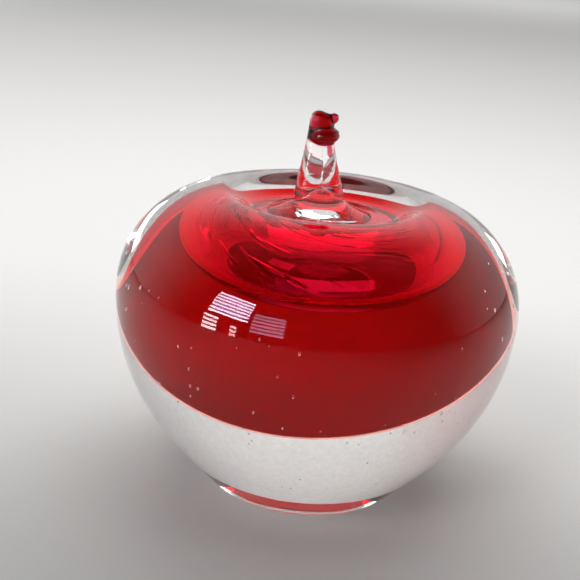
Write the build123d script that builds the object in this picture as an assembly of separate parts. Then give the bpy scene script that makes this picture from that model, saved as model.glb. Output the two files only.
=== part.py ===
from build123d import *
import math
import os

# Art glass apple, a paperweight of fused glass. A hollow clear core is wrapped in a thin ruby layer, dipped in opal
# white at its lower half, and buried in a thick clear casing. A clear stem with a ruby tip stands in the dimple.
# Millimetres, Z up, origin at the middle of the ground foot. X runs to the right of the side that faces the viewer.

# Outside of the casing
body_diameter = 115
waist_height = 55.3
foot_diameter = 61.3
foot_arris = 0.5
crest_diameter = 59.4
crest_height = 84.2
dimple_floor_diameter = 32
dimple_depth = 5

# How the side swells between those rings: handle lengths as shares of the chord, and the slope at the foot
foot_slope_degrees = 49.5
foot_handle_share = 0.29
low_waist_handle_share = 0.46
high_waist_handle_share = 0.42
outer_crest_handle_share = 0.35
inner_crest_handle_share = 0.36
floor_handle_share = 0.45

# Ruby layer: the outside of the coloured body, buried so deep in the casing at its side, crest and middle
side_cover = 19.5
crest_cover = 7.4
middle_cover = 4.8
ruby_waist_drop = 3.3
ruby_crest_diameter = 48
ruby_base_diameter = 16
ruby_base_height = 3.2
ruby_thickness = 1.2

ruby_base_slope_degrees = 22.5
ruby_base_handle_share = 0.15
ruby_low_waist_handle_share = 0.31
ruby_high_waist_handle_share = 0.56
ruby_crest_handle_share = 0.32
ruby_dip_handle_share = 0.37

# Opal band: a tilted dip line in front view and side view, and an opening under the foot
opal_thickness = 0.8
opal_top_height = 41.8
opal_top_tilt_degrees = 16.5
opal_top_lean_degrees = 4
opal_opening_height = 12
opal_opening_tilt_degrees = 12

# Air bubble sealed in the clear core: its walls, and a floor that is pushed up inside a round trench
bubble_side_wall = 1.8
bubble_crest_wall = 2.6
bubble_middle_wall = 3.4
bubble_crest_diameter = 34
bubble_trench_inset = 6.5
bubble_trench_drop = 6.5
bubble_lip_place_share = 0.46
bubble_floor_rise_share = 0.33

bubble_floor_handle_share = 0.4
bubble_trench_handle_share = 0.2
bubble_lip_handle_share = 0.3
bubble_roof_handle_share = 0.42
bubble_dip_handle_share = 0.36

# Stem: a flared foot on the dimple floor that runs up into two pulled lobes side by side, heights above that floor
stem_rise = 28.8
flare_place_x = -1.4
flare_diameter = 30
flare_neck_diameter = 10.5
flare_neck_rise = 5.9
flare_top_rise = 7.6
flare_slope_degrees = 18
flare_neck_slope_degrees = 62
flare_handle_share = 0.32
flare_top_handle_share = 0.3
flare_root_depth = 1.6

lobe_root_rise = 1.6
left_lobe_foot_x = -4.7
left_lobe_tip_x = -3.6
left_lobe_foot_radius = 4.5
left_lobe_neck_radius = 2.6
right_lobe_foot_x = 2
right_lobe_tip_x = -1.9
right_lobe_foot_radius = 3.8
right_lobe_neck_radius = 2.3
right_lobe_drop = 5.4
lobe_taper_share = 0.4
lobe_round_share = 0.39

# Ruby tip, measured down from the stem's top: an upright drop, a roll round its foot, a knob at its right and a run
drop_cover = 0.7
drop_length = 8.9
drop_top_x = -2.6
drop_base_x = -2.1
drop_radius = 2.9
drop_belly_share = 0.5
drop_top_share = 0.42
drop_belly_place_share = 0.3
roll_depth = 7
roll_x = -1.9
roll_radius = 2.5
roll_tube_radius = 1.75
roll_tilt_degrees = 7
knob_depth = 2
knob_x = 0.35
knob_radius = 1.35
run_depth = 7.6
run_length = 5
run_top_x = -0.6
run_bottom_x = 0.1
run_front_y = -1.1
run_radius = 0.75

# Heights and rings that follow from these
dimple_floor_height = crest_height - dimple_depth
ruby_diameter = body_diameter - 2 * side_cover
ruby_waist_height = waist_height - ruby_waist_drop
ruby_crest_height = crest_height - crest_cover
ruby_middle_height = dimple_floor_height - middle_cover
stem_height = dimple_floor_height + stem_rise


def spot(radius, height):
    # A point of an outline: how far out from the axis, and how high
    return Vector(radius, 0, height)


def bend(start, start_degrees, start_share, end, end_degrees, end_share):
    # One smooth curve between two rings of an outline, leaving and arriving at the given slopes
    chord = (end - start).length
    start_way = Vector(math.cos(math.radians(start_degrees)), 0, math.sin(math.radians(start_degrees)))
    end_way = Vector(math.cos(math.radians(end_degrees)), 0, math.sin(math.radians(end_degrees)))
    first_handle = start + start_way * chord * start_share
    last_handle = end - end_way * chord * end_share
    return Bezier(start, first_handle, last_handle, end)


def turned(edges):
    # A solid turned about the upright axis, from an outline whose two ends lie on it
    closing = Line(edges[-1] @ 1, edges[0] @ 0)
    return revolve(make_face([*edges, closing]), Axis.Z)


def apple_body():
    # The whole outside shape of the casing, filled
    foot_radius = foot_diameter / 2
    base_edge = spot(foot_radius - foot_arris, 0)
    foot = spot(foot_radius, foot_arris)
    waist = spot(body_diameter / 2, waist_height)
    crest = spot(crest_diameter / 2, crest_height)
    floor_ring = spot(dimple_floor_diameter / 2, dimple_floor_height)
    return turned([
        Line(spot(0, 0), base_edge),
        Line(base_edge, foot),
        bend(foot, foot_slope_degrees, foot_handle_share, waist, 90, low_waist_handle_share),
        bend(waist, 90, high_waist_handle_share, crest, 180, outer_crest_handle_share),
        bend(crest, 180, inner_crest_handle_share, floor_ring, 180, floor_handle_share),
        Line(floor_ring, spot(0, dimple_floor_height)),
    ])


def coloured_side(growth):
    # The buried body's side from its waist up to its crest, at a distance outside the ruby layer's outer face
    waist = spot(ruby_diameter / 2 + growth, ruby_waist_height)
    crest = spot(ruby_crest_diameter / 2, ruby_crest_height + growth)
    return bend(waist, 90, ruby_high_waist_handle_share, crest, 180, ruby_crest_handle_share)


def coloured_body(growth):
    # The buried body, filled, as it is at the given distance outside the ruby layer's outer face
    side = coloured_side(growth)
    base_middle = spot(0, ruby_base_height - growth)
    base = spot(ruby_base_diameter / 2, ruby_base_height - growth)
    middle = spot(0, ruby_middle_height + growth)
    return turned([
        Line(base_middle, base),
        bend(base, ruby_base_slope_degrees, ruby_base_handle_share, side @ 0, 90, ruby_low_waist_handle_share),
        side,
        bend(side @ 1, 180, ruby_dip_handle_share, middle, 180, ruby_dip_handle_share),
    ])


def air_bubble():
    # The sealed bubble, wide and low. Its lip follows the ruby layer's side, its roof is dented like the apple, and
    # its floor is pushed up inside a round trench.
    side = coloured_side(-ruby_thickness - bubble_side_wall)
    lip = side @ bubble_lip_place_share
    lip_way = side % bubble_lip_place_share
    lip_degrees = math.degrees(math.atan2(lip_way.Z, lip_way.X))
    crest = spot(bubble_crest_diameter / 2, ruby_crest_height - ruby_thickness - bubble_crest_wall)
    roof_middle = spot(0, ruby_middle_height - ruby_thickness - bubble_middle_wall)
    trench = spot(lip.X - bubble_trench_inset, lip.Z - bubble_trench_drop)
    floor_middle = spot(0, trench.Z + (roof_middle.Z - trench.Z) * bubble_floor_rise_share)
    return turned([
        bend(floor_middle, 0, bubble_floor_handle_share, trench, 0, bubble_trench_handle_share),
        bend(trench, 0, bubble_trench_handle_share, lip, lip_degrees, bubble_lip_handle_share),
        bend(lip, lip_degrees, bubble_roof_handle_share, crest, 180, bubble_roof_handle_share),
        bend(crest, 180, bubble_roof_handle_share, roof_middle, 180, bubble_dip_handle_share),
    ])


def tilted_plane(height, tilt_degrees, lean_degrees):
    # A level plane at a height on the axis, raised towards the back by the tilt and to the right by the lean
    rise_back = math.tan(math.radians(tilt_degrees))
    rise_right = math.tan(math.radians(lean_degrees))
    return Plane(origin=(0, 0, height), z_dir=(-rise_right, -rise_back, 1))


def make_clear_core():
    return coloured_body(-ruby_thickness) - air_bubble()


def make_ruby_layer():
    return coloured_body(0) - coloured_body(-ruby_thickness)


def make_opal_band():
    skin = coloured_body(opal_thickness) - coloured_body(0)
    dip_line = tilted_plane(opal_top_height, opal_top_tilt_degrees, opal_top_lean_degrees)
    opening = tilted_plane(opal_opening_height, opal_opening_tilt_degrees, 0)
    dipped = split(skin, bisect_by=dip_line, keep=Keep.BOTTOM)
    return split(dipped, bisect_by=opening, keep=Keep.TOP)


def make_clear_casing(opal_band):
    return apple_body() - coloured_body(0) - opal_band


def lobe(foot_x, tip_x, tip_height, foot_radius, neck_radius):
    # One pulled strand of the stem: a taper with a round end, turned about its own slightly leaning axis
    root_height = dimple_floor_height + lobe_root_rise
    length = tip_height - root_height
    foot = spot(foot_radius, 0)
    neck = spot(neck_radius, length - neck_radius)
    tip = spot(0, length)
    strand = turned([
        Line(spot(0, 0), foot),
        bend(foot, 90, lobe_taper_share, neck, 90, lobe_taper_share),
        bend(neck, 90, lobe_round_share, tip, 180, lobe_round_share),
    ])
    lean_degrees = math.degrees(math.atan2(tip_x - foot_x, length))
    return Pos(foot_x, 0, root_height) * Rot(0, lean_degrees, 0) * strand


def stem_flare():
    # The spread foot of the stem, on its own upright axis a little left of the apple's
    root_height = dimple_floor_height - flare_root_depth
    root = spot(flare_diameter / 2, root_height)
    edge = spot(flare_diameter / 2, dimple_floor_height)
    neck = spot(flare_neck_diameter / 2, dimple_floor_height + flare_neck_rise)
    top = spot(0, dimple_floor_height + flare_top_rise)
    edge_rise = 180 - flare_slope_degrees
    neck_rise = 180 - flare_neck_slope_degrees
    flare = turned([
        Line(spot(0, root_height), root),
        Line(root, edge),
        bend(edge, edge_rise, flare_handle_share, neck, neck_rise, flare_handle_share),
        bend(neck, neck_rise, flare_handle_share, top, 180, flare_top_handle_share),
    ])
    return Pos(flare_place_x, 0, 0) * flare


def ruby_drop():
    # The upright drop, widest low down, turned about its own slightly leaning axis
    base_height = stem_height - drop_cover - drop_length
    base = spot(0, 0)
    belly = spot(drop_radius, drop_length * drop_belly_place_share)
    top = spot(0, drop_length)
    drop = turned([
        bend(base, 0, drop_belly_share, belly, 90, drop_belly_share),
        bend(belly, 90, drop_belly_share, top, 180, drop_top_share),
    ])
    lean_degrees = math.degrees(math.atan2(drop_top_x - drop_base_x, drop_length))
    return Pos(drop_base_x, 0, base_height) * Rot(0, lean_degrees, 0) * drop


def make_ruby_stem_tip():
    roll_height = stem_height - roll_depth
    run_top_height = stem_height - run_depth
    run_top = Vector(run_top_x, run_front_y, run_top_height)
    run_bottom = Vector(run_bottom_x, run_front_y, run_top_height - run_length)
    roll = Pos(roll_x, 0, roll_height) * Rot(0, -roll_tilt_degrees, 0) * Torus(roll_radius, roll_tube_radius)
    knob = Pos(knob_x, 0, stem_height - knob_depth) * Sphere(knob_radius)
    run_line = Line(run_top, run_bottom)
    run_plane = Plane(origin=run_line @ 0, z_dir=run_line % 0)
    run = sweep(run_plane * Circle(run_radius), path=run_line)
    run_end = Pos(run_bottom) * Sphere(run_radius)
    return ruby_drop() + roll + knob + run + run_end


def make_clear_stem(ruby_stem_tip):
    left = lobe(left_lobe_foot_x, left_lobe_tip_x, stem_height, left_lobe_foot_radius, left_lobe_neck_radius)
    right_height = stem_height - right_lobe_drop
    right = lobe(right_lobe_foot_x, right_lobe_tip_x, right_height, right_lobe_foot_radius, right_lobe_neck_radius)
    return stem_flare() + left + right - apple_body() - ruby_stem_tip


def save(node, solid):
    export_step(solid, os.path.join("parts", node + ".step"))


os.makedirs("parts", exist_ok=True)
opal_band = make_opal_band()
ruby_stem_tip = make_ruby_stem_tip()
save("clear_core", make_clear_core())
save("ruby_layer", make_ruby_layer())
save("opal_band", opal_band)
save("clear_casing", make_clear_casing(opal_band))
save("clear_stem", make_clear_stem(ruby_stem_tip))
save("ruby_stem_tip", ruby_stem_tip)
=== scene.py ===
import math
import random

import bpy
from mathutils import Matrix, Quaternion, Vector
from mathutils.geometry import interpolate_bezier


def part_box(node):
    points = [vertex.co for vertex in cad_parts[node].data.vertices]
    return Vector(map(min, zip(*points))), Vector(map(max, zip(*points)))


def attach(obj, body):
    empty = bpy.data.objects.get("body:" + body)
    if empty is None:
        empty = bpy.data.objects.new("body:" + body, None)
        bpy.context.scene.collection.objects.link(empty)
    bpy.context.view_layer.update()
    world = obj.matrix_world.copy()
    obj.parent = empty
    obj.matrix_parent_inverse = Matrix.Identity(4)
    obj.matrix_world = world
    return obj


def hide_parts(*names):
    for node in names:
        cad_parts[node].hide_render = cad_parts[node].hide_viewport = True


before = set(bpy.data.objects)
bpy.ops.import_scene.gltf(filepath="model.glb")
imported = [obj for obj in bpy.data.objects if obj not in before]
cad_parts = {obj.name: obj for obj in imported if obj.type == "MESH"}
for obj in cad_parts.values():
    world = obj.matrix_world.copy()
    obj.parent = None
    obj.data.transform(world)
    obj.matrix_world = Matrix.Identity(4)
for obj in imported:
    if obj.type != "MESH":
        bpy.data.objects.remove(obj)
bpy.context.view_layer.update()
mm = 0.001
mergeDistance = 0.002 * mm       # two vertices closer than this are one
bodyName = "root"
print("frame loaded")


# Small helpers for modelling

def nothingSelected():
    if bpy.context.object and bpy.context.object.mode != "OBJECT":
        bpy.ops.object.mode_set(mode="OBJECT")
    bpy.ops.object.select_all(action="DESELECT")


def pick(piece):
    nothingSelected()
    piece.select_set(True)
    bpy.context.view_layer.objects.active = piece


def nameNewest(name):
    piece = bpy.context.object
    piece.name = name
    piece.data.name = name
    return piece


def spot(radius, height):
    return Vector((radius, 0, height))


def bend(start, startDegrees, startShare, end, endDegrees, endShare, steps):
    # the points of one smooth curve between two rings of an outline, without its first point;
    # it leaves and arrives at these angles, and each share is a handle's length against the chord
    chord = (end - start).length
    startWay = Vector((math.cos(math.radians(startDegrees)), 0, math.sin(math.radians(startDegrees))))
    endWay = Vector((math.cos(math.radians(endDegrees)), 0, math.sin(math.radians(endDegrees))))
    firstHandle = start + startWay * chord * startShare
    lastHandle = end - endWay * chord * endShare
    return interpolate_bezier(start, firstHandle, lastHandle, end, steps + 1)[1:]


def turnOutline(name, points, segments):
    # one vertex is pushed out along the outline, and the outline is spun round the upright axis
    nothingSelected()
    bpy.ops.mesh.primitive_circle_add(vertices=3, radius=mm, fill_type="NOTHING")
    piece = nameNewest(name)
    bpy.ops.object.mode_set(mode="EDIT")
    bpy.ops.mesh.select_all(action="SELECT")
    bpy.ops.mesh.merge(type="CENTER")
    bpy.ops.transform.translate(value=points[0])
    for last, point in zip(points, points[1:]):
        bpy.ops.mesh.extrude_region_move(TRANSFORM_OT_translate={"value": point - last})
    bpy.ops.mesh.select_all(action="SELECT")
    bpy.ops.mesh.spin(steps=segments, angle=math.tau, center=(0, 0, 0), axis=(0, 0, 1))
    bpy.ops.mesh.select_all(action="SELECT")
    bpy.ops.mesh.remove_doubles(threshold=mergeDistance)
    bpy.ops.mesh.normals_make_consistent(inside=False)
    bpy.ops.object.mode_set(mode="OBJECT")
    return piece


def inEditMode(piece, *steps):
    pick(piece)
    bpy.ops.object.mode_set(mode="EDIT")
    bpy.ops.mesh.select_all(action="SELECT")
    for step in steps:
        step()
    bpy.ops.object.mode_set(mode="OBJECT")


def addModifier(piece, kind, **settings):
    # a modifier is added with its settings and applied
    pick(piece)
    modifier = piece.modifiers.new(kind.lower(), kind)
    for name, value in settings.items():
        setattr(modifier, name, value)
    bpy.ops.object.modifier_apply(modifier=modifier.name)


def joinPieces(name, pieces):
    pick(pieces[0])
    for piece in pieces:
        piece.select_set(True)
    bpy.ops.object.join()
    return nameNewest(name)


def copyPiece(piece, name):
    pick(piece)
    bpy.ops.object.duplicate()
    return nameNewest(name)


def smoothShade(piece):
    pick(piece)
    bpy.ops.object.shade_smooth()


def cutAway(piece, place, normal):
    # takes away what lies on the side that the normal points to
    inEditMode(piece, lambda: bpy.ops.mesh.bisect(
        plane_co=place, plane_no=normal, use_fill=False, clear_outer=True))


# Small helpers for materials

def linear(hexColour):
    # an sRGB hex value as a linear colour
    channels = [int(hexColour[i:i + 2], 16) / 255 for i in (1, 3, 5)]
    light = [c / 12.92 if c <= 0.04045 else ((c + 0.055) / 1.055) ** 2.4 for c in channels]
    return tuple(light) + (1.0,)


def addNode(tree, kind, settings=None, **inputs):
    # adds a node with its settings; an input is a value, or a socket to link
    node = tree.nodes.new(kind)
    for name, value in (settings or {}).items():
        setattr(node, name, value)
    for name, value in inputs.items():
        key = int(name[2:]) if name.startswith("in") and name[2:].isdigit() else name.replace("_", " ")
        socket = node.inputs[key]
        if isinstance(value, bpy.types.NodeSocket):
            tree.links.new(value, socket)
        else:
            socket.default_value = value
    return node


def newMaterial(name):
    material = bpy.data.materials.new(name)
    material.use_nodes = True
    return material, material.node_tree, material.node_tree.nodes["Principled BSDF"]


def glassShader(shader, ior):
    # colourless, mirror-smooth glass; the body colour comes from the volume
    shader.inputs["Base Color"].default_value = (1, 1, 1, 1)
    shader.inputs["Transmission Weight"].default_value = 1
    shader.inputs["IOR"].default_value = ior
    shader.inputs["Roughness"].default_value = 0


def absorbing(tree, hexColour, density):
    # colours the body of the glass, more where the way through it is longer
    output = tree.nodes["Material Output"]
    volume = addNode(tree, "ShaderNodeVolumeAbsorption", Color=linear(hexColour), Density=density)
    tree.links.new(volume.outputs["Volume"], output.inputs["Volume"])


# Materials

glassLook = {
    "ior": 1.5, "seamIor": 1.0,                 # the seam of two fused layers bends no light
    "waveSize": 26, "waveDepth": 0.02,          # mm, the slow waves that a tool leaves on hot glass
    "ruby": "#fe19aa", "rubyDensity": 2300,     # per metre: 1.2 mm of it reads as a clean, strong red
    "tipRuby": "#f01980", "tipDensity": 1600,   # the stem's tip is solid red, so it is much deeper
}


def polishedCasingGlass():
    # lead crystal, free-blown and fire-polished: mirror-smooth, with very slow waves from the tools
    material, tree, shader = newMaterial("firePolishedCrystal")
    glassShader(shader, glassLook["ior"])
    place = addNode(tree, "ShaderNodeTexCoord").outputs["Object"]
    waves = addNode(tree, "ShaderNodeTexNoise", Vector=place, Scale=1 / (glassLook["waveSize"] * mm),
                    Detail=1.0, Roughness=0.4)
    bump = addNode(tree, "ShaderNodeBump", Height=waves.outputs["Fac"], Strength=1.0,
                   Distance=glassLook["waveDepth"] * mm)
    tree.links.new(bump.outputs["Normal"], shader.inputs["Normal"])
    return material


def fusedSeamGlass():
    # the fused seam between two layers of one glass: light passes it unbent, so the eye sees nothing of it
    material, tree, shader = newMaterial("fusedSeam")
    glassShader(shader, glassLook["seamIor"])
    return material


def rubyGlass(name, hexColour, density):
    # gold ruby, a clear glass with a strong red in its body: deeper where light crosses more of it
    material, tree, shader = newMaterial(name)
    glassShader(shader, glassLook["seamIor"])
    absorbing(tree, hexColour, density)
    return material


swirl = {
    "roof": (58.5, 61.5),        # mm, the heights between which the wall turns into the roof
    "floor": (60.0, 62.0),       # mm, the heights between which the floor's eye fades out upwards
    "perTurn": 4.6,              # mm that the drawn lines move outwards per radian
    "lineWidth": 1.7, "lineRun": 1.2, "lineFrom": (0.52, 0.66),      # width in mm, waves per radian, noise range
    "bandWidth": 7, "bandRun": 0.8, "bandFrom": (0.5, 0.66), "bandShare": 0.5,
    "riseRun": 0.05,             # waves per mm upwards, for lines and bands
    "fade": (-14.0, 9.0), "rightShare": 0.12,    # mm to the right over which the lines fade, to this share
    "lineDepth": 0.3,            # mm, how deep the drawn lines are
    # the ring's colour is painted shade, a darker red laid on the roof
    "stain": "#8c1020", "ringStain": "#9c1828",
    "ringRadius": 28.5, "ringWidth": 3.2,        # mm, the radius and width of the ring of painted shade on the roof
    "ringCore": 0.4, "ringShare": 0.8,           # the share of its width that is full, and how strong that is
    "eyePlace": (3, -15.5), "eyeRadius": (11.7, 8.6), "eyeSoft": 0.9,
    "eyeStain": "#b8505c", "eyeLip": 0.25,
}


def bubbleWallGlass():
    # the inside of a blown bubble, never touched by a tool: glossy, with ruby cords drawn round its left half
    material, tree, shader = newMaterial("blownBubbleWall")
    glassShader(shader, glassLook["ior"])
    place = addNode(tree, "ShaderNodeTexCoord").outputs["Object"]
    inMm = addNode(tree, "ShaderNodeVectorMath", {"operation": "SCALE"}, in0=place, Scale=1 / mm)
    parts = addNode(tree, "ShaderNodeSeparateXYZ", Vector=inMm.outputs["Vector"])
    x, y, z = (parts.outputs[axis] for axis in "XYZ")
    flat = addNode(tree, "ShaderNodeCombineXYZ", X=x, Y=y)
    fromAxis = addNode(tree, "ShaderNodeVectorMath", {"operation": "LENGTH"}, in0=flat.outputs["Vector"])
    reach = fromAxis.outputs["Value"]
    back = addNode(tree, "ShaderNodeMath", {"operation": "MULTIPLY"}, in0=y, in1=-1.0).outputs["Value"]
    left = addNode(tree, "ShaderNodeMath", {"operation": "MULTIPLY"}, in0=x, in1=-1.0).outputs["Value"]
    turn = addNode(tree, "ShaderNodeMath", {"operation": "ARCTAN2"}, in0=back, in1=left).outputs["Value"]
    # the lines lie on the roof alone: the wall and the floor are plain
    onRoof = addNode(tree, "ShaderNodeMapRange", Value=z, From_Min=swirl["roof"][0], From_Max=swirl["roof"][1])
    drawn = addNode(tree, "ShaderNodeMath", {"operation": "MULTIPLY_ADD"}, in0=turn, in1=-swirl["perTurn"],
                    in2=reach).outputs["Value"]
    alongLines = addNode(tree, "ShaderNodeCombineXYZ", X=drawn, Y=turn, Z=z)
    fine = addNode(tree, "ShaderNodeMapping", Vector=alongLines.outputs["Vector"],
                   Scale=(1 / swirl["lineWidth"], swirl["lineRun"], swirl["riseRun"]))
    broad = addNode(tree, "ShaderNodeMapping", Vector=alongLines.outputs["Vector"],
                    Scale=(1 / swirl["bandWidth"], swirl["bandRun"], swirl["riseRun"]))
    lines = addNode(tree, "ShaderNodeTexNoise", Vector=fine.outputs["Vector"], Scale=1.0, Detail=2.5,
                    Roughness=0.55, Distortion=0.9)
    bands = addNode(tree, "ShaderNodeTexNoise", Vector=broad.outputs["Vector"], Scale=1.0, Detail=1.5,
                    Roughness=0.5, Distortion=0.5)
    lineShare = addNode(tree, "ShaderNodeMapRange", Value=lines.outputs["Fac"],
                        From_Min=swirl["lineFrom"][0], From_Max=swirl["lineFrom"][1])
    bandShare = addNode(tree, "ShaderNodeMapRange", Value=bands.outputs["Fac"],
                        From_Min=swirl["bandFrom"][0], From_Max=swirl["bandFrom"][1])
    # the lines are strong on the left and fade out to the right
    side = addNode(tree, "ShaderNodeMapRange", Value=x, From_Min=swirl["fade"][0], From_Max=swirl["fade"][1],
                   To_Min=1.0, To_Max=swirl["rightShare"])
    fainter = addNode(tree, "ShaderNodeMath", {"operation": "MULTIPLY"}, in0=bandShare.outputs["Result"],
                      in1=swirl["bandShare"])
    both = addNode(tree, "ShaderNodeMath", {"operation": "MAXIMUM"}, in0=lineShare.outputs["Result"],
                   in1=fainter.outputs["Value"])
    leftShare = addNode(tree, "ShaderNodeMath", {"operation": "MULTIPLY"}, in0=both.outputs["Value"],
                        in1=side.outputs["Result"])
    stainShare = addNode(tree, "ShaderNodeMath", {"operation": "MULTIPLY"}, in0=leftShare.outputs["Value"],
                         in1=onRoof.outputs["Result"])
    stained = addNode(tree, "ShaderNodeMix", {"data_type": "RGBA"}, in0=stainShare.outputs["Value"],
                      in6=(1, 1, 1, 1), in7=linear(swirl["stain"]))
    # a ring of painted shade on the roof: the red is darkened there to stand for shade
    fromRing = addNode(tree, "ShaderNodeMath", {"operation": "SUBTRACT"}, in0=reach, in1=swirl["ringRadius"])
    offRing = addNode(tree, "ShaderNodeMath", {"operation": "ABSOLUTE"}, in0=fromRing.outputs["Value"])
    ringShare = addNode(tree, "ShaderNodeMapRange", {"interpolation_type": "SMOOTHSTEP"},
                        Value=offRing.outputs["Value"], From_Min=swirl["ringWidth"] * swirl["ringCore"],
                        From_Max=swirl["ringWidth"], To_Min=swirl["ringShare"], To_Max=0.0)
    paintedShadeShare = addNode(tree, "ShaderNodeMath", {"operation": "MULTIPLY"}, in0=ringShare.outputs["Result"],
                       in1=onRoof.outputs["Result"])
    withPaintedShade = addNode(tree, "ShaderNodeMix", {"data_type": "RGBA"}, in0=paintedShadeShare.outputs["Value"],
                     in6=stained.outputs[2], in7=linear(swirl["ringStain"]))
    # the eye, where the blowing iron's cooler glass left a shallow oval lens on the floor
    eyeX = addNode(tree, "ShaderNodeMath", {"operation": "SUBTRACT"}, in0=x, in1=swirl["eyePlace"][0])
    eyeY = addNode(tree, "ShaderNodeMath", {"operation": "SUBTRACT"}, in0=y, in1=swirl["eyePlace"][1])
    eyePlace = addNode(tree, "ShaderNodeCombineXYZ", X=eyeX.outputs["Value"], Y=eyeY.outputs["Value"])
    eyeScale = addNode(tree, "ShaderNodeVectorMath", {"operation": "DIVIDE"}, in0=eyePlace.outputs["Vector"],
                       in1=(swirl["eyeRadius"][0], swirl["eyeRadius"][1], 1))
    eyeReach = addNode(tree, "ShaderNodeVectorMath", {"operation": "LENGTH"}, in0=eyeScale.outputs["Vector"])
    inEye = addNode(tree, "ShaderNodeMapRange", {"interpolation_type": "SMOOTHSTEP"},
                    Value=eyeReach.outputs["Value"], From_Min=swirl["eyeSoft"], From_Max=1.0,
                    To_Min=1.0, To_Max=0.0)
    onFloor = addNode(tree, "ShaderNodeMapRange", Value=z, From_Min=swirl["floor"][0], From_Max=swirl["floor"][1],
                      To_Min=1.0, To_Max=0.0)
    eyeShare = addNode(tree, "ShaderNodeMath", {"operation": "MULTIPLY"}, in0=inEye.outputs["Result"],
                       in1=onFloor.outputs["Result"])
    eyed = addNode(tree, "ShaderNodeMix", {"data_type": "RGBA"}, in0=eyeShare.outputs["Value"],
                   in6=withPaintedShade.outputs[2], in7=linear(swirl["eyeStain"]))
    tree.links.new(eyed.outputs[2], shader.inputs["Base Color"])
    relief = addNode(tree, "ShaderNodeMath", {"operation": "MULTIPLY_ADD"}, in0=eyeShare.outputs["Value"],
                     in1=swirl["eyeLip"] / swirl["lineDepth"], in2=stainShare.outputs["Value"])
    bump = addNode(tree, "ShaderNodeBump", Height=relief.outputs["Value"], Strength=1.0,
                   Distance=swirl["lineDepth"] * mm)
    tree.links.new(bump.outputs["Normal"], shader.inputs["Normal"])
    return material


opalLook = {
    "milk": "#e9e7e2",
    "milkShade": "#dfddd9",
    "edge": "#efc3b0",
    "pink": "#e9b9ba",
    "inside": "#a29292",         # painted shade: darker than the white, so the red seen through it reads deeper
    "pit": "#77767c",
    "edgeWidth": 0.3,            # mm, the thin rim where red shines through
    "satin": 0.5,                # roughness of the melted-in grains
    "grain": 1.3, "grainFrom": (0.35, 0.65),     # mm, the size of the crushed glass grains, and the noise range
    "pitSpacing": 3.2, "pitReach": (0.04, 0.1),  # mm between the small dark pits, and their size as a share of it
    "pinkShare": 0.45, "pinkFrom": 16, "pinkTo": 36,      # mm to the right, where the white is thin and pinkish
}


def opalInsidePaintedShade():
    # the fused inner face of the same white, with no grain, painted darker as shade: seen only through the ruby
    material, tree, shader = newMaterial("opalInnerFace")
    shader.inputs["Base Color"].default_value = linear(opalLook["inside"])
    shader.inputs["Roughness"].default_value = opalLook["satin"]
    shader.inputs["IOR"].default_value = glassLook["seamIor"]
    return material


def opalFritGlass(topHeight, riseBack, riseRight):
    # opal glass frit, rolled on hot and melted in: satin white, faintly grainy, with small dark pits
    material, tree, shader = newMaterial("meltedOpalFrit")
    shader.inputs["Roughness"].default_value = opalLook["satin"]
    shader.inputs["IOR"].default_value = glassLook["seamIor"]
    place = addNode(tree, "ShaderNodeTexCoord").outputs["Object"]
    grain = addNode(tree, "ShaderNodeTexNoise", Vector=place, Scale=1 / (opalLook["grain"] * mm), Detail=5.0,
                    Roughness=0.65)
    grainShare = addNode(tree, "ShaderNodeMapRange", Value=grain.outputs["Fac"],
                         From_Min=opalLook["grainFrom"][0], From_Max=opalLook["grainFrom"][1])
    milk = addNode(tree, "ShaderNodeMix", {"data_type": "RGBA"}, in0=grainShare.outputs["Result"],
                   in6=linear(opalLook["milkShade"]), in7=linear(opalLook["milk"]))
    cells = addNode(tree, "ShaderNodeTexVoronoi", Vector=place, Scale=1 / (opalLook["pitSpacing"] * mm),
                    Randomness=1.0)
    pitShare = addNode(tree, "ShaderNodeMapRange", Value=cells.outputs["Distance"],
                       From_Min=opalLook["pitReach"][0], From_Max=opalLook["pitReach"][1], To_Min=1.0, To_Max=0.0)
    pitted = addNode(tree, "ShaderNodeMix", {"data_type": "RGBA"}, in0=pitShare.outputs["Result"],
                     in6=milk.outputs[2], in7=linear(opalLook["pit"]))
    parts = addNode(tree, "ShaderNodeSeparateXYZ", Vector=place)
    toRight = addNode(tree, "ShaderNodeMapRange", {"interpolation_type": "SMOOTHSTEP"}, Value=parts.outputs["X"],
                      From_Min=opalLook["pinkFrom"] * mm, From_Max=opalLook["pinkTo"] * mm,
                      To_Max=opalLook["pinkShare"])
    tinted = addNode(tree, "ShaderNodeMix", {"data_type": "RGBA"}, in0=toRight.outputs["Result"],
                     in6=pitted.outputs[2], in7=linear(opalLook["pink"]))
    # how far below the slanted upper edge a point lies, along Z
    lifted = addNode(tree, "ShaderNodeMath", {"operation": "MULTIPLY_ADD"}, in0=parts.outputs["X"],
                     in1=riseRight, in2=topHeight)
    edgeHeight = addNode(tree, "ShaderNodeMath", {"operation": "MULTIPLY_ADD"}, in0=parts.outputs["Y"],
                         in1=riseBack, in2=lifted.outputs["Value"])
    depth = addNode(tree, "ShaderNodeMath", {"operation": "SUBTRACT"}, in0=edgeHeight.outputs["Value"],
                    in1=parts.outputs["Z"])
    rimShare = addNode(tree, "ShaderNodeMapRange", Value=depth.outputs["Value"], From_Min=0.0,
                       From_Max=opalLook["edgeWidth"] * mm, To_Min=1.0, To_Max=0.0)
    rimmed = addNode(tree, "ShaderNodeMix", {"data_type": "RGBA"}, in0=rimShare.outputs["Result"],
                     in6=tinted.outputs[2], in7=linear(opalLook["edge"]))
    tree.links.new(rimmed.outputs[2], shader.inputs["Base Color"])
    return material


print("materials ready")


# Casing: the clear outside of the apple

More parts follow.
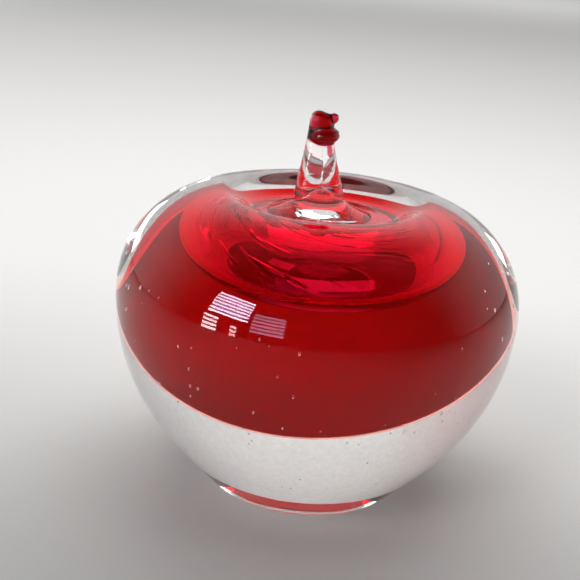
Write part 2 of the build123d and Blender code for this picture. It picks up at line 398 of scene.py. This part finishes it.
casing = {
    # sizes in mm; the width and the crest's height are those of the solid
    "waistHeight": 55.3, "footDiameter": 61.3, "footArris": 0.5, "crestDiameter": 59.4,
    "floorDiameter": 32, "floorHeight": 79.2,
    "footSlope": 49.5, "footShare": 0.29, "lowWaistShare": 0.46, "highWaistShare": 0.42,
    "outerCrestShare": 0.35, "innerCrestShare": 0.36, "floorShare": 0.45,
    "segments": 224, "steps": (40, 34, 24),      # round the axis; below the waist, above it, in the dimple
}


def buildCasing(glass):
    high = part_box("clear_casing")[1]
    below, above, inside = casing["steps"]
    foot = spot(casing["footDiameter"] / 2 * mm, casing["footArris"] * mm)
    baseEdge = spot(foot.x - casing["footArris"] * mm, 0)
    waist = spot(high.x, casing["waistHeight"] * mm)
    crest = spot(casing["crestDiameter"] / 2 * mm, high.z)
    floorRing = spot(casing["floorDiameter"] / 2 * mm, casing["floorHeight"] * mm)
    points = [spot(0, 0), baseEdge * 0.5, baseEdge, foot]
    points += bend(foot, casing["footSlope"], casing["footShare"], waist, 90, casing["lowWaistShare"], below)
    points += bend(waist, 90, casing["highWaistShare"], crest, 180, casing["outerCrestShare"], above)
    points += bend(crest, 180, casing["innerCrestShare"], floorRing, 180, casing["floorShare"], inside)
    points += [spot(floorRing.x / 2, floorRing.z), spot(0, floorRing.z)]
    piece = turnOutline("clearCasing", points, casing["segments"])
    piece.data.materials.append(glass)
    smoothShade(piece)
    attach(piece, bodyName)
    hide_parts("clear_casing")


# Coloured body: clear core with its bubble, ruby layer and opal band

coloured = {
    # sizes of the ruby layer's outer face, in mm; its width, base and crest heights are those of the solid
    "waistHeight": 52, "baseDiameter": 16, "crestDiameter": 48, "middleHeight": 74.4,
    "baseSlope": 22.5, "baseShare": 0.15, "lowWaistShare": 0.31, "highWaistShare": 0.56,
    "crestShare": 0.32, "dipShare": 0.37,
    "rubyThickness": 1.2, "opalThickness": 0.75,
    "seam": 0.02,                # mm left between two skins, so that they don't share a surface
    "segments": 192, "steps": (44, 28, 14),      # below the waist, above it, in the dip
}
opalEdge = {
    # heights on the axis in mm, slants in degrees: up to the back, and up to the right
    "topHeight": 41.8, "topTilt": 16.5, "topLean": 4, "openingHeight": 12, "openingTilt": 12,
    "sharpAbove": 40,            # degrees, edges sharper than this keep their crease
}
bubble = {
    # walls of clear glass left round the bubble, and the form of its floor, in mm
    "sideWall": 1.8, "crestWall": 2.6, "dipWall": 3.4, "crestDiameter": 34,
    "lipPlaceShare": 0.46, "trenchInset": 6.5, "trenchDrop": 6.5, "floorRiseShare": 0.33,
    "floorShare": 0.4, "trenchShare": 0.2, "lipShare": 0.3, "roofShare": 0.42, "dipShare": 0.36,
    "segments": 192, "sideSteps": 80, "steps": (24, 20, 30, 18),      # floor, trench, roof, dip
}


def shoulder(growth, steps):
    # the side from the waist up to the crest, at a distance outside the ruby layer's outer face
    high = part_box("ruby_layer")[1]
    waist = spot(high.x + growth, coloured["waistHeight"] * mm)
    crest = spot(coloured["crestDiameter"] / 2 * mm, high.z + growth)
    return [waist] + bend(waist, 90, coloured["highWaistShare"], crest, 180, coloured["crestShare"], steps)


def colouredOutline(growth):
    # the whole buried body's outline
    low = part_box("ruby_layer")[0]
    below, above, inside = coloured["steps"]
    base = spot(coloured["baseDiameter"] / 2 * mm, low.z - growth)
    side = shoulder(growth, above)
    middle = spot(0, coloured["middleHeight"] * mm + growth)
    points = [spot(0, low.z - growth), base]
    points += bend(base, coloured["baseSlope"], coloured["baseShare"], side[0], 90, coloured["lowWaistShare"],
                   below)
    points += side[1:]
    return points + bend(side[-1], 180, coloured["dipShare"], middle, 180, coloured["dipShare"], inside)


def buildRubyLayer(glass):
    # a closed shell: the inner face lies inside the outer one and points the other way
    outer = turnOutline("rubyLayer", colouredOutline(0), coloured["segments"])
    inner = turnOutline("rubyInside", colouredOutline(-coloured["rubyThickness"] * mm), coloured["segments"])
    inEditMode(inner, bpy.ops.mesh.flip_normals)
    piece = joinPieces("rubyLayer", [outer, inner])
    piece.data.materials.append(glass)
    smoothShade(piece)
    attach(piece, bodyName)
    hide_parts("ruby_layer")


def bubbleOutline():
    # the lip follows the ruby layer's side; the floor is pushed up inside a round trench
    side = shoulder(-(coloured["rubyThickness"] + bubble["sideWall"]) * mm, bubble["sideSteps"])
    reach = sum((b - a).length for a, b in zip(side, side[1:])) * bubble["lipPlaceShare"]
    while reach > 0:
        reach -= (side[1] - side[0]).length
        side.pop(0)
    lip = side[0]
    lipDegrees = math.degrees(math.atan2(side[1].z - lip.z, side[1].x - lip.x))
    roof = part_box("ruby_layer")[1].z - coloured["rubyThickness"] * mm
    crest = spot(bubble["crestDiameter"] / 2 * mm, roof - bubble["crestWall"] * mm)
    dip = spot(0, (coloured["middleHeight"] - coloured["rubyThickness"] - bubble["dipWall"]) * mm)
    trench = spot(lip.x - bubble["trenchInset"] * mm, lip.z - bubble["trenchDrop"] * mm)
    floorMiddle = spot(0, trench.z + (dip.z - trench.z) * bubble["floorRiseShare"])
    onFloor, inTrench, onRoof, inDip = bubble["steps"]
    points = [floorMiddle]
    points += bend(floorMiddle, 0, bubble["floorShare"], trench, 0, bubble["trenchShare"], onFloor)
    points += bend(trench, 0, bubble["trenchShare"], lip, lipDegrees, bubble["lipShare"], inTrench)
    points += bend(lip, lipDegrees, bubble["roofShare"], crest, 180, bubble["roofShare"], onRoof)
    points += bend(crest, 180, bubble["roofShare"], dip, 180, bubble["dipShare"], inDip)
    return points


def buildClearCore(seamGlass, wallGlass):
    # the outer skin is the seam with the ruby; the bubble's wall points into the bubble
    depth = (coloured["rubyThickness"] + coloured["seam"]) * mm
    outside = turnOutline("coreOutside", colouredOutline(-depth), coloured["segments"])
    outside.data.materials.append(seamGlass)
    wall = turnOutline("bubbleWall", bubbleOutline(), bubble["segments"])
    wall.data.materials.append(wallGlass)
    inEditMode(wall, bpy.ops.mesh.flip_normals)
    piece = joinPieces("clearCore", [outside, wall])
    smoothShade(piece)
    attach(piece, bodyName)
    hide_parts("clear_core")


def planeNormal(riseBack, riseRight):
    return Vector((-riseRight, -riseBack, 1)).normalized()


def buildOpalBand():
    riseBack = math.tan(math.radians(opalEdge["topTilt"]))
    riseRight = math.tan(math.radians(opalEdge["topLean"]))
    openingRise = math.tan(math.radians(opalEdge["openingTilt"]))
    piece = turnOutline("opalBand", colouredOutline(coloured["seam"] * mm), coloured["segments"])
    cutAway(piece, (0, 0, opalEdge["topHeight"] * mm), planeNormal(riseBack, riseRight))
    cutAway(piece, (0, 0, opalEdge["openingHeight"] * mm), -planeNormal(openingRise, 0))
    piece.data.materials.append(opalFritGlass(opalEdge["topHeight"] * mm, riseBack, riseRight))
    piece.data.materials.append(opalInsidePaintedShade())
    # grown outwards; the face that lies on the ruby takes the second material
    addModifier(piece, "SOLIDIFY", thickness=coloured["opalThickness"] * mm, offset=1.0, use_even_offset=True,
                material_offset=1)
    pick(piece)
    bpy.ops.object.shade_smooth_by_angle(angle=math.radians(opalEdge["sharpAbove"]))
    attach(piece, bodyName)
    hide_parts("opal_band")


# Stem: clear glass pulled in two lobes over a flared foot, with the ruby tip inside its head

stem = {
    # sizes in mm, slopes in degrees
    "rootHeight": 80.8, "buried": 0.35,          # the foot is sunk so deep into the dimple's floor, as if fused
    "flareX": -1.4, "flareDiameter": 30, "flareNeckDiameter": 10.5, "flareNeckHeight": 85.1, "flareTop": 86.8,
    "flareSlope": 18, "flareNeckSlope": 62, "flareShare": 0.32, "flareTopShare": 0.3,
    "flareSegments": 96, "flareSteps": (14, 12),
    "left": {"footX": -4.7, "tipX": -3.6, "footRadius": 4.5, "neckRadius": 2.6},
    "right": {"footX": 2, "tipX": -1.9, "footRadius": 3.8, "neckRadius": 2.3, "top": 102.6},
    "taperShare": 0.4, "roundShare": 0.39, "lobeSegments": 48, "lobeSteps": (20, 8),
    "voxel": 0.36, "smoothing": 8, "relax": 0.5,
    "skin": 0.1,                 # mm of clear glass left round the ruby tip
}
tip = {
    "dropBaseX": -2.1, "dropBase": 98.4, "dropTopX": -2.6, "dropTop": 107.3, "dropRadius": 2.9,
    "dropBellyShare": 0.5, "dropTopShare": 0.42, "bellyPlaceShare": 0.3, "dropSegments": 48, "dropSteps": (12, 18),
    "rollX": -1.9, "rollHeight": 101, "rollRadius": 2.5, "rollTube": 1.75, "rollTilt": 7, "rollSegments": (48, 20),
    "knobX": 0.35, "knobHeight": 106, "knobRadius": 1.35, "knobSegments": (24, 16),
    "runTop": (-0.6, -1.1, 100.4), "runBottom": (0.1, -1.1, 95.4), "runRadius": 0.75,
    "runShare": 0.4, "runSegments": 20, "runSteps": 6,
    "voxel": 0.24, "smoothing": 4, "relax": 0.5,
}


def turnedStrand(name, points, leanFrom, leanTo, segments):
    # a turned piece, tilted in the X-Z plane so that its axis runs between two points
    piece = turnOutline(name, points, segments)
    way = leanTo - leanFrom
    turn = math.atan2(way.x, way.z)
    inEditMode(
        piece,
        lambda: bpy.ops.transform.rotate(value=-turn, orient_axis="Y", center_override=(0, 0, 0)),
        lambda: bpy.ops.transform.translate(value=leanFrom),
    )
    return piece


def lobe(name, footX, tipX, top, footRadius, neckRadius):
    taperSteps, roundSteps = stem["lobeSteps"]
    root = stem["rootHeight"] - 2 * stem["buried"]
    length = (top - root) * mm
    foot = spot(footRadius * mm, 0)
    neck = spot(neckRadius * mm, length - neckRadius * mm)
    points = [spot(0, 0), foot]
    points += bend(foot, 90, stem["taperShare"], neck, 90, stem["taperShare"], taperSteps)
    points += bend(neck, 90, stem["roundShare"], spot(0, length), 180, stem["roundShare"], roundSteps)
    return turnedStrand(name, points, spot(footX * mm, root * mm), spot(tipX * mm, top * mm),
                        stem["lobeSegments"])


def stemFlare():
    # the foot, spread on the dimple's floor
    neckSteps, topSteps = stem["flareSteps"]
    floorHeight = casing["floorHeight"]
    root = floorHeight - stem["buried"]
    radius = stem["flareDiameter"] / 2 * mm
    edge = spot(radius, floorHeight * mm)
    neck = spot(stem["flareNeckDiameter"] / 2 * mm, stem["flareNeckHeight"] * mm)
    points = [spot(0, root * mm), spot(radius, root * mm), edge]
    points += bend(edge, 180 - stem["flareSlope"], stem["flareShare"], neck, 180 - stem["flareNeckSlope"],
                   stem["flareShare"], neckSteps)
    points += bend(neck, 180 - stem["flareNeckSlope"], stem["flareShare"], spot(0, stem["flareTop"] * mm), 180,
                   stem["flareTopShare"], topSteps)
    piece = turnOutline("flare", points, stem["flareSegments"])
    inEditMode(piece, lambda: bpy.ops.transform.translate(value=(stem["flareX"] * mm, 0, 0)))
    return piece


def ballAt(name, place, radius, segments, rings):
    nothingSelected()
    bpy.ops.mesh.primitive_uv_sphere_add(segments=segments, ring_count=rings, radius=radius)
    piece = nameNewest(name)
    inEditMode(piece, lambda: bpy.ops.transform.translate(value=place))
    return piece


def rubyTipParts():
    # an upright drop, a roll of glass round its foot, a knob at its right and a short run down
    bellySteps, topSteps = tip["dropSteps"]
    length = (tip["dropTop"] - tip["dropBase"]) * mm
    belly = spot(tip["dropRadius"] * mm, length * tip["bellyPlaceShare"])
    points = [spot(0, 0)]
    points += bend(spot(0, 0), 0, tip["dropBellyShare"], belly, 90, tip["dropBellyShare"], bellySteps)
    points += bend(belly, 90, tip["dropBellyShare"], spot(0, length), 180, tip["dropTopShare"], topSteps)
    base = spot(tip["dropBaseX"] * mm, tip["dropBase"] * mm)
    top = spot(tip["dropTopX"] * mm, tip["dropTop"] * mm)
    drop = turnedStrand("drop", points, base, top, tip["dropSegments"])
    nothingSelected()
    around, across = tip["rollSegments"]
    bpy.ops.mesh.primitive_torus_add(major_segments=around, minor_segments=across,
                                     major_radius=tip["rollRadius"] * mm, minor_radius=tip["rollTube"] * mm)
    roll = nameNewest("roll")
    inEditMode(
        roll,
        lambda: bpy.ops.transform.rotate(value=math.radians(tip["rollTilt"]), orient_axis="Y",
                                         center_override=(0, 0, 0)),
        lambda: bpy.ops.transform.translate(value=spot(tip["rollX"] * mm, tip["rollHeight"] * mm)),
    )
    knob = ballAt("knob", spot(tip["knobX"] * mm, tip["knobHeight"] * mm), tip["knobRadius"] * mm,
                  *tip["knobSegments"])
    top, bottom = Vector(tip["runTop"]) * mm, Vector(tip["runBottom"]) * mm
    radius = tip["runRadius"] * mm
    runLength = (top - bottom).length
    points = [spot(0, 0)]
    points += bend(spot(0, 0), 0, tip["runShare"], spot(radius, radius), 90, tip["runShare"], tip["runSteps"])
    points += [spot(radius, runLength), spot(0, runLength)]
    run = turnedStrand("run", points, spot(bottom.x, bottom.z), spot(top.x, top.z), tip["runSegments"])
    inEditMode(run, lambda: bpy.ops.transform.translate(value=(0, bottom.y, 0)))
    return [drop, roll, knob, run]


def buildStem(clearGlass, rubyTipGlass):
    # the clear parts and a skin over the ruby are joined and melted into one
    ruby = joinPieces("rubyTip", rubyTipParts())
    skinPart = copyPiece(ruby, "tipSkin")
    inEditMode(skinPart, lambda: bpy.ops.transform.shrink_fatten(value=stem["skin"] * mm))
    right = stem["right"]
    left = stem["left"]
    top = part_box("clear_stem")[1].z / mm - stem["skin"]
    parts = [
        stemFlare(),
        lobe("leftLobe", left["footX"], left["tipX"], top, left["footRadius"], left["neckRadius"]),
        lobe("rightLobe", right["footX"], right["tipX"], right["top"], right["footRadius"], right["neckRadius"]),
        skinPart,
    ]
    clear = joinPieces("clearStem", parts)
    addModifier(clear, "REMESH", mode="VOXEL", voxel_size=stem["voxel"] * mm)
    addModifier(clear, "SMOOTH", factor=stem["relax"], iterations=stem["smoothing"])
    addModifier(clear, "SUBSURF", levels=1, render_levels=1)
    clear.data.materials.clear()
    clear.data.materials.append(clearGlass)
    addModifier(ruby, "REMESH", mode="VOXEL", voxel_size=tip["voxel"] * mm)
    addModifier(ruby, "SMOOTH", factor=tip["relax"], iterations=tip["smoothing"])
    ruby.data.materials.clear()
    ruby.data.materials.append(rubyTipGlass)
    for piece, node, slotName in ((clear, "clear_stem", "clear_glass"), (ruby, "ruby_stem_tip", "ruby_glass")):
        smoothShade(piece)
        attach(piece, bodyName)
        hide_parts(node)


# Air: a thin pocket trapped under the foot of the stem, and small seed bubbles in the casing

air = {
    # sizes in mm: half-widths of the pocket, and how far its skin waves up and down
    "pocketPlace": (0.4, -8.0, 79.8), "pocketSize": (8.8, 4.1, 0.2), "pocketWave": 0.6, "pocketWaveSize": 5.5,
    "pocketFineness": 6,
    "seeds": 110, "seedRadius": (0.12, 0.34), "drawnShare": 1.5, "seedFineness": 2,
    "seedDepth": (0.5, 2.6), "seedSpread": (-2, 24),      # mm out from the ruby, and mm above the opal's edge
    "seedsAbove": 30, "seedsBeyond": 20,                  # mm, only this part of the side holds seeds
    "randomSeed": 11,
}


def airInGlass():
    # air inside the glass, seen from the glass: at a shallow angle its wall is a mirror, so it looks silvery
    material, tree, shader = newMaterial("trappedAir")
    glassShader(shader, glassLook["ior"])
    return material


def buildAirPocket(glass):
    nothingSelected()
    bpy.ops.mesh.primitive_ico_sphere_add(subdivisions=air["pocketFineness"], radius=mm)
    piece = nameNewest("airPocket")
    inEditMode(
        piece,
        lambda: bpy.ops.transform.resize(value=air["pocketSize"]),
        lambda: bpy.ops.transform.translate(value=Vector(air["pocketPlace"]) * mm),
    )
    waves = bpy.data.textures.new("pocketWaves", "CLOUDS")
    waves.noise_scale = air["pocketWaveSize"] * mm
    addModifier(piece, "DISPLACE", texture=waves, texture_coords="GLOBAL", strength=air["pocketWave"] * mm,
                direction="Z", mid_level=0.5)
    inEditMode(piece, bpy.ops.mesh.flip_normals)
    piece.data.materials.append(glass)
    smoothShade(piece)
    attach(piece, bodyName)


def buildSeeds(glass):
    # each seed lies a little outside the coloured body, not far above the opal's edge
    rng = random.Random(air["randomSeed"])
    side = [point for point in colouredOutline(0)
            if point.z > air["seedsAbove"] * mm and point.x > air["seedsBeyond"] * mm]
    riseBack = math.tan(math.radians(opalEdge["topTilt"]))
    lowest, highest = air["seedSpread"]
    seeds = []
    for number in range(air["seeds"]):
        turn = rng.uniform(0, math.tau)
        edge = opalEdge["topHeight"] + side[0].x / mm * math.sin(turn) * riseBack
        height = (edge + lowest + rng.random() ** 2 * (highest - lowest)) * mm
        ring = min(side, key=lambda point: abs(point.z - height))
        reach = ring.x + rng.uniform(*air["seedDepth"]) * mm
        nothingSelected()
        bpy.ops.mesh.primitive_ico_sphere_add(subdivisions=air["seedFineness"],
                                              radius=rng.uniform(*air["seedRadius"]) * mm)
        seed = nameNewest("seed")
        inEditMode(
            seed,
            lambda: bpy.ops.transform.resize(value=(1, 1, air["drawnShare"])),
            lambda: bpy.ops.transform.translate(value=(reach * math.cos(turn), reach * math.sin(turn), height)),
        )
        seeds.append(seed)
    piece = joinPieces("seedBubbles", seeds)
    inEditMode(piece, bpy.ops.mesh.flip_normals)
    piece.data.materials.append(glass)
    smoothShade(piece)
    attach(piece, bodyName)


casingGlass = polishedCasingGlass()
rubyLayerGlass = rubyGlass("goldRubyLayer", glassLook["ruby"], glassLook["rubyDensity"])
rubyTipGlass = rubyGlass("goldRubySolid", glassLook["tipRuby"], glassLook["tipDensity"])
buildCasing(casingGlass)
print("casing built")
buildRubyLayer(rubyLayerGlass)
print("ruby layer built")
buildClearCore(fusedSeamGlass(), bubbleWallGlass())
print("clear core built")
buildOpalBand()
print("opal band built")
buildStem(casingGlass, rubyTipGlass)
print("stem built")
airGlass = airInGlass()
buildAirPocket(airGlass)
buildSeeds(airGlass)
print("air built")


# Studio: a pale floor and room, dimmer in front and overhead, a window with blinds, and soft lamps

studio = {
    # places and sizes in metres from here on
    "floorFront": "#6e6e6c", "floorBack": "#c9c8c6", "floorSize": 8, "floorFade": (-0.26, 0.2), "matt": 0.9,
    "underFoot": 0.3,            # mm that the high spots of the ground foot keep it clear
    "room": "#e6e6e8", "roomBack": 0.95, "roomFront": 0.07, "roomOverhead": 0.14,
    "roomTurn": (-0.35, 0.45), "roomLift": (0.4, 0.85),      # the ways between which it turns dim
    "blindAway": 2.2,
    "slatPitch": 0.135, "slatGap": 0.55,         # coarser than real slats, so that they show
    # turn in degrees (minus is left), width, lowest and highest point, glow, tint:
    # the window's upper and lower left parts, its lower right part, and a dimmer pane beside it
    "blinds": ((-47.5, 0.95, 0.66, 1.6, 26, "#dce8ff"), (-56, 0.34, 0.04, 0.6, 20, "#eeeef0"),
               (-42, 0.14, 0.04, 0.5, 16, "#ffe9ee"), (-24, 0.7, 0.34, 1.2, 6, "#cfc8f0")),
    # the lamps: place, width and height, power in watts, and the point aimed at
    "shoulderPlace": (-1.1, 1.7, 0.12), "shoulderSize": (0.8, 0.22), "shoulderPower": 2.6,
    "rimPlace": (0.95, 1.75, 0.12), "rimSize": (0.35, 0.22), "rimPower": 1.6,
    "softPlace": (-1.2, -1.6, 1.6), "softSize": (0.9, 1.0), "softPower": 22,
    "fillPlace": (0.3, -1.4, 0.25), "fillSize": (2.0, 0.6), "fillPower": 40,
    "overheadPlace": (0, 0.3, 1.6), "overheadSize": (1.8, 1.8), "overheadPower": 31,
    "behindPlace": (0, 0.3, 0.5), "behindSize": (0.6, 0.3), "behindPower": 1.1, "behindAim": (0, 0.22, 0),
    "farPlace": (0.5, 3.3, 1.2), "farSize": (4.0, 1.6), "farPower": 30, "farAim": (0.5, 3.3, 0),
    "aim": (0, 0, 0.045),
}


def addLamp(name):
    # an area lamp with the values that start with its name
    place = studio[name + "Place"]
    bpy.ops.object.light_add(type="AREA", location=place)
    lamp = bpy.context.object
    lamp.name = name
    lamp.data.shape = "RECTANGLE"
    lamp.data.size, lamp.data.size_y = studio[name + "Size"]
    lamp.data.energy = studio[name + "Power"]
    aim = studio.get(name + "Aim", studio["aim"])
    lamp.rotation_euler = (Vector(aim) - Vector(place)).to_track_quat("-Z", "Y").to_euler()
    return lamp


def asReflectionOnly(piece):
    piece.visible_diffuse = False
    piece.visible_transmission = False
    piece.visible_camera = False
    piece.visible_shadow = False


def hangBlind(number, turnDegrees, width, low, high, glow, tint):
    # one lit gap between two slats, repeated upwards
    nothingSelected()
    bpy.ops.mesh.primitive_plane_add(size=1)
    piece = nameNewest("blind%d" % number)
    pitch = studio["slatPitch"]
    inEditMode(piece, lambda: bpy.ops.transform.resize(value=(width, pitch * studio["slatGap"], 1)))
    addModifier(piece, "ARRAY", count=round((high - low) / pitch), use_relative_offset=False,
                use_constant_offset=True, constant_offset_displace=(0, pitch, 0))
    turn = math.radians(turnDegrees)
    away = studio["blindAway"]
    piece.location = (away * math.sin(turn), -away * math.cos(turn), low)
    piece.rotation_euler = (math.pi / 2, 0, turn)
    material, tree, shader = newMaterial("dayThroughBlind")
    shader.inputs["Base Color"].default_value = (0, 0, 0, 1)
    shader.inputs["Emission Color"].default_value = linear(tint)
    shader.inputs["Emission Strength"].default_value = glow
    piece.data.materials.append(material)
    return piece


def addFloor():
    nothingSelected()
    bpy.ops.mesh.primitive_plane_add(size=studio["floorSize"], location=(0, 0, -studio["underFoot"] * mm))
    floor = nameNewest("paleFloor")
    # matt paper, darker in front, so that its reflection doesn't veil the red
    material, tree, shader = newMaterial("matPaper")
    place = addNode(tree, "ShaderNodeTexCoord").outputs["Object"]
    parts = addNode(tree, "ShaderNodeSeparateXYZ", Vector=place)
    fade = addNode(tree, "ShaderNodeMapRange", {"interpolation_type": "SMOOTHSTEP"}, Value=parts.outputs["Y"],
                   From_Min=studio["floorFade"][0], From_Max=studio["floorFade"][1])
    paper = addNode(tree, "ShaderNodeMix", {"data_type": "RGBA"}, in0=fade.outputs["Result"],
                    in6=linear(studio["floorFront"]), in7=linear(studio["floorBack"]))
    tree.links.new(paper.outputs[2], shader.inputs["Base Color"])
    shader.inputs["Roughness"].default_value = studio["matt"]
    floor.data.materials.append(material)


def addRoom():
    # the room's light comes mostly from behind, so that the front of the glass stays deep
    world = bpy.data.worlds.new("paleRoom")
    bpy.context.scene.world = world
    world.use_nodes = True
    tree = world.node_tree
    background = tree.nodes["Background"]
    background.inputs["Color"].default_value = linear(studio["room"])
    way = addNode(tree, "ShaderNodeTexCoord").outputs["Generated"]
    parts = addNode(tree, "ShaderNodeSeparateXYZ", Vector=way)
    level = addNode(tree, "ShaderNodeMapRange", {"interpolation_type": "SMOOTHSTEP"}, Value=parts.outputs["Y"],
                    From_Min=studio["roomTurn"][0], From_Max=studio["roomTurn"][1],
                    To_Min=studio["roomFront"], To_Max=studio["roomBack"])
    overhead = addNode(tree, "ShaderNodeMapRange", {"interpolation_type": "SMOOTHSTEP"}, Value=parts.outputs["Z"],
                       From_Min=studio["roomLift"][0], From_Max=studio["roomLift"][1],
                       To_Min=1.0, To_Max=studio["roomOverhead"])
    strength = addNode(tree, "ShaderNodeMath", {"operation": "MULTIPLY"}, in0=level.outputs["Result"],
                       in1=overhead.outputs["Result"])
    tree.links.new(strength.outputs["Value"], background.inputs["Strength"])


def buildStudio():
    addFloor()
    addRoom()
    # seen as reflections alone: a window with slatted blinds, and the bright rims on both shoulders
    for number, blind in enumerate(studio["blinds"]):
        asReflectionOnly(hangBlind(number, *blind))
    for name in ("shoulder", "rim"):
        asReflectionOnly(addLamp(name))
    # the soft lamps light the opal and the floor, and leave no mark on the polished casing
    for name in ("fill", "overhead", "soft", "behind", "far"):
        addLamp(name).visible_glossy = False
    # the fill reaches the opal alone; the lamps behind and far off only brighten the floor
    bpy.data.objects["fill"].visible_diffuse = False
    for name in ("behind", "far"):
        bpy.data.objects[name].visible_transmission = False
        bpy.data.objects[name].visible_camera = False


buildStudio()
print("studio ready")


# Camera: the photo's place, fitted to the apple's outline; the photo leans a little, which the roll takes up

view = {
    # in mm; the distance and the angle are measured from a point on the axis, at aimFrom
    "distance": 300, "aboveDegrees": 21.64, "aimFrom": 42, "aim": (-7.81, 0, 55.3), "rollDegrees": 4.76,
    "focalLength": 63.27, "sensor": 36, "nearest": 10,
    "bounces": 32, "glossyBounces": 8,           # light crosses up to a dozen glass faces each way
}


def placeCamera():
    above = math.radians(view["aboveDegrees"])
    lift = view["distance"] * math.sin(above) + view["aimFrom"]
    place = Vector((0, -view["distance"] * math.cos(above), lift)) * mm
    way = Vector(view["aim"]) * mm - place
    turn = way.to_track_quat("-Z", "Y") @ Quaternion((0, 0, 1), math.radians(view["rollDegrees"]))
    data = bpy.data.cameras.new("photoView")
    data.sensor_width = view["sensor"]
    data.lens = view["focalLength"]
    data.clip_start = view["nearest"] * mm
    camera = bpy.data.objects.new("photoView", data)
    bpy.context.scene.collection.objects.link(camera)
    camera.location = place
    camera.rotation_euler = turn.to_euler()
    bpy.context.scene.camera = camera


placeCamera()
scene = bpy.context.scene
scene.view_settings.view_transform = "Standard"
scene.cycles.max_bounces = view["bounces"]
scene.cycles.transmission_bounces = view["bounces"]
scene.cycles.glossy_bounces = view["glossyBounces"]
